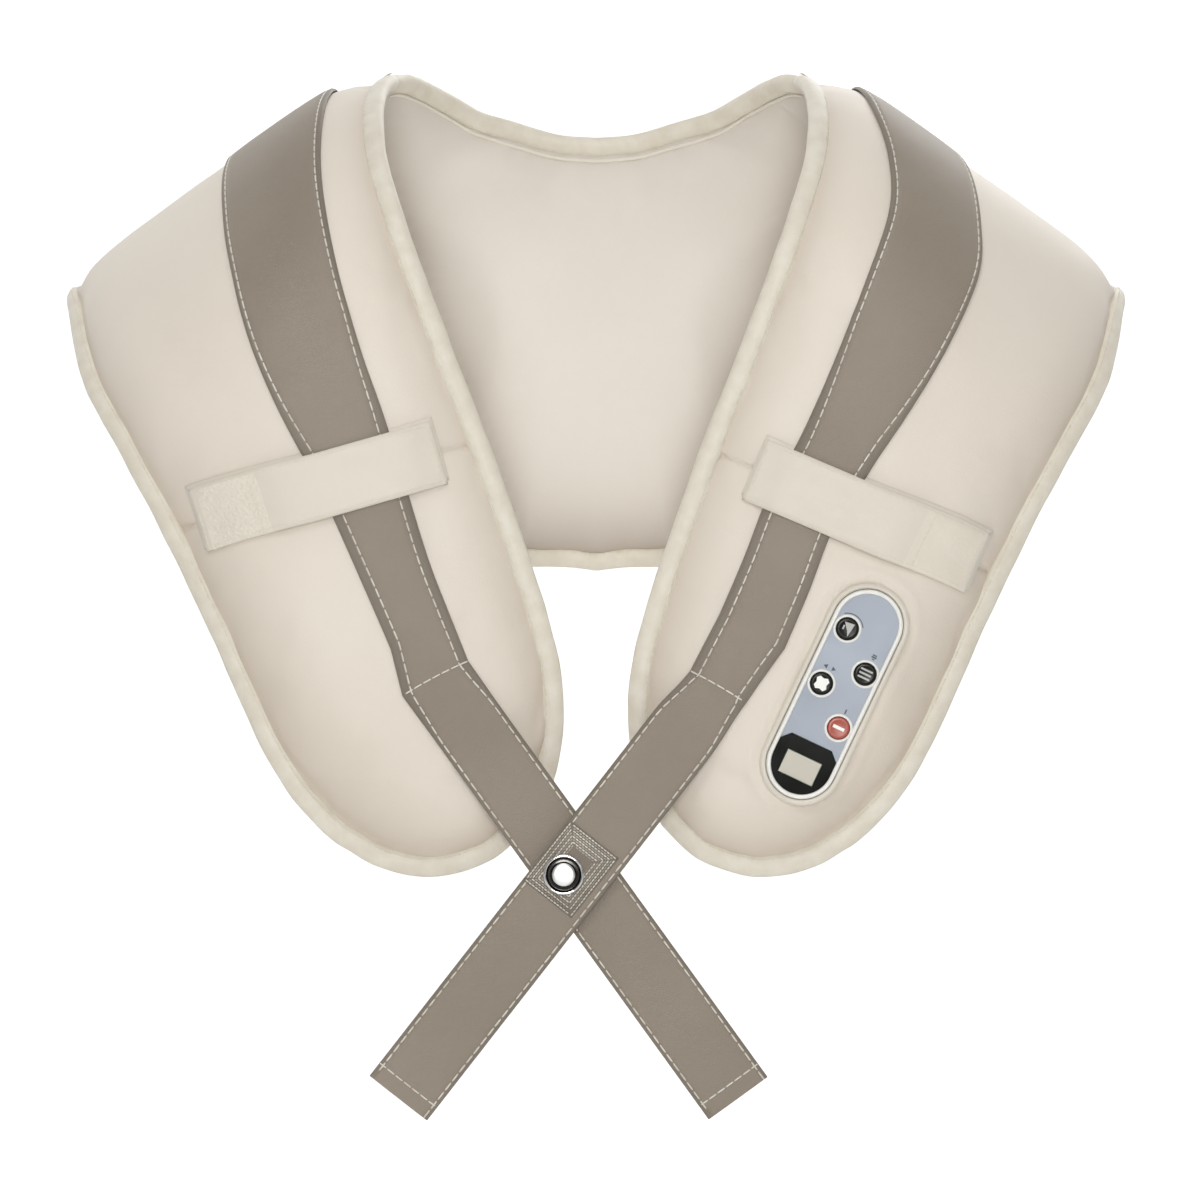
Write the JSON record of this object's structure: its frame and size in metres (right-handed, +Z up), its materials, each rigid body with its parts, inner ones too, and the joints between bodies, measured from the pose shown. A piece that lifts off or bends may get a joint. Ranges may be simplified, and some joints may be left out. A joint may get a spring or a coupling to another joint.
{
  "type": "shiatsu neck massager",
  "caption": "Padded U-shaped neck and shoulder shawl with two crossed front straps, snap, strap keepers, control pod and kneading heads in the back panel.",
  "frame": {"origin": "midway between the two points beside the neck where the shawl rests on the wearer's shoulders", "axes": "+X to the wearer's left (the side of the control pod), -Y to the wearer's front, +Z up"},
  "size_m": [0.476, 0.2422, 0.4586],
  "materials": {
    "cover": "soft woven cover",
    "lining": "soft brushed lining",
    "tape": "folded edge tape",
    "strap": "woven strap",
    "foam": null,
    "chrome": "polished",
    "steel": "plain",
    "brass": "turned",
    "white_plastic": "satin",
    "blue_overlay": "satin",
    "black_plastic": "satin",
    "red_plastic": "satin",
    "screen": "clear over grey",
    "board": "printed board",
    "nylon": "moulded",
    "cable": "insulation"
  },
  "bodies": {
    "shawl": {"outer_cover": "cover", "inner_lining": "lining", "back_pad": "foam", "neckline_binding": "tape", "hem_binding": "tape", "control_bezel": "white_plastic", "control_back_case": "white_plastic", "control_board": "board", "control_faceplate": "blue_overlay", "display_window": "black_plastic", "display_screen": "screen", "dc_inlet": "black_plastic", "inlet_lead": "cable", "cross_lead": "cable", "control_lead": "cable", "strength_switch": "black_plastic", "mode_switch": "black_plastic", "direction_switch": "black_plastic", "power_switch": "black_plastic", "left_shoulder_pad": "foam", "left_front_pad": "foam", "left_upper_strap": "strap", "left_keeper_base": "cover", "left_gearbox_case": "white_plastic", "left_gearbox_lid": "white_plastic", "left_bush": "brass", "left_motor": "steel", "right_shoulder_pad": "foam", "right_front_pad": "foam", "right_upper_strap": "strap", "right_keeper_base": "cover", "right_gearbox_case": "white_plastic", "right_gearbox_lid": "white_plastic", "right_bush": "brass", "right_motor": "steel"},
    "strength_button": {"strength_button": "black_plastic"},
    "mode_button": {"mode_button": "black_plastic"},
    "direction_button": {"direction_button": "black_plastic"},
    "power_button": {"power_button": "red_plastic"},
    "left_kneading_head": {"left_output_shaft": "steel", "left_worm_wheel": "nylon", "left_carrier_arm": "nylon"},
    "left_worm": {"left_worm": "steel"},
    "left_upper_node": {"left_upper_node": "nylon"},
    "left_lower_node": {"left_lower_node": "nylon"},
    "left_keeper_flap": {"left_keeper_flap": "cover"},
    "right_kneading_head": {"right_output_shaft": "steel", "right_worm_wheel": "nylon", "right_carrier_arm": "nylon"},
    "right_worm": {"right_worm": "steel"},
    "right_upper_node": {"right_upper_node": "nylon"},
    "right_lower_node": {"right_lower_node": "nylon"},
    "right_keeper_flap": {"right_keeper_flap": "cover"},
    "right_lower_strap": {"right_lower_strap": "strap", "strap_patch": "strap", "snap_cap": "chrome", "snap_socket": "chrome"},
    "left_lower_strap": {"left_lower_strap": "strap", "snap_stud": "chrome", "snap_post": "chrome"}
  },
  "joints": [
    {"name": "strength_press", "type": "slide", "parent": "shawl", "child": "strength_button", "axis": [0, 1, 0], "range_m": [0, 0.0005], "stiffness_N_per_m": 400, "springref_m": -0.0005},
    {"name": "mode_press", "type": "slide", "parent": "shawl", "child": "mode_button", "axis": [0, 1, 0], "range_m": [0, 0.0005], "stiffness_N_per_m": 400, "springref_m": -0.0005},
    {"name": "direction_press", "type": "slide", "parent": "shawl", "child": "direction_button", "axis": [0, 1, 0], "range_m": [0, 0.0005], "stiffness_N_per_m": 400, "springref_m": -0.0005},
    {"name": "power_press", "type": "slide", "parent": "shawl", "child": "power_button", "axis": [0, 1, 0], "range_m": [0, 0.0005], "stiffness_N_per_m": 400, "springref_m": -0.0005},
    {"name": "left_head_turn", "type": "hinge", "parent": "shawl", "child": "left_kneading_head", "pos_m": [-0.11, 0.088, -0.112], "axis": [0, 1, 0], "continuous": true},
    {"name": "left_worm_turn", "type": "hinge", "parent": "shawl", "child": "left_worm", "pos_m": [-0.11, 0.088, -0.1365], "axis": [1, 0, 0], "continuous": true},
    {"name": "left_upper_node_roll", "type": "hinge", "parent": "left_kneading_head", "child": "left_upper_node", "pos_m": [-0.12732, 0.067, -0.102], "axis": [0, 1, 0], "continuous": true},
    {"name": "left_lower_node_roll", "type": "hinge", "parent": "left_kneading_head", "child": "left_lower_node", "pos_m": [-0.09268, 0.067, -0.122], "axis": [0, 1, 0], "continuous": true},
    {"name": "right_head_turn", "type": "hinge", "parent": "shawl", "child": "right_kneading_head", "pos_m": [0.11, 0.088, -0.112], "axis": [0, 1, 0], "continuous": true},
    {"name": "right_worm_turn", "type": "hinge", "parent": "shawl", "child": "right_worm", "pos_m": [0.11, 0.088, -0.1365], "axis": [1, 0, 0], "continuous": true},
    {"name": "right_upper_node_roll", "type": "hinge", "parent": "right_kneading_head", "child": "right_upper_node", "pos_m": [0.12732, 0.067, -0.102], "axis": [0, 1, 0], "continuous": true},
    {"name": "right_lower_node_roll", "type": "hinge", "parent": "right_kneading_head", "child": "right_lower_node", "pos_m": [0.09268, 0.067, -0.122], "axis": [0, 1, 0], "continuous": true},
    {"name": "right_strap_swing", "type": "hinge", "parent": "shawl", "child": "right_lower_strap", "pos_m": [0.05215, -0.1212, -0.26875], "axis": [-0.8676, 0, 0.4973], "range_deg": [0, 100]},
    {"name": "left_strap_swing", "type": "hinge", "parent": "shawl", "child": "left_lower_strap", "pos_m": [-0.06835, -0.1212, -0.26515], "axis": [-0.8835, 0, -0.4685], "range_deg": [0, 50]},
    {"name": "left_keeper_open", "type": "hinge", "parent": "shawl", "child": "left_keeper_flap", "pos_m": [-0.0668, -0.1196, -0.1688], "axis": [-0.2756, 0, 0.9613], "range_deg": [0, 120]},
    {"name": "right_keeper_open", "type": "hinge", "parent": "shawl", "child": "right_keeper_flap", "pos_m": [0.0677, -0.1196, -0.176], "axis": [-0.394, 0, -0.9191], "range_deg": [0, 120]}
  ],
  "couplings": [
    {"joint": "left_worm_turn", "follows": "left_head_turn", "ratio": -32},
    {"joint": "right_worm_turn", "follows": "right_head_turn", "ratio": 32},
    {"joint": "left_strap_swing", "follows": "right_strap_swing", "ratio": 0.5}
  ]
}
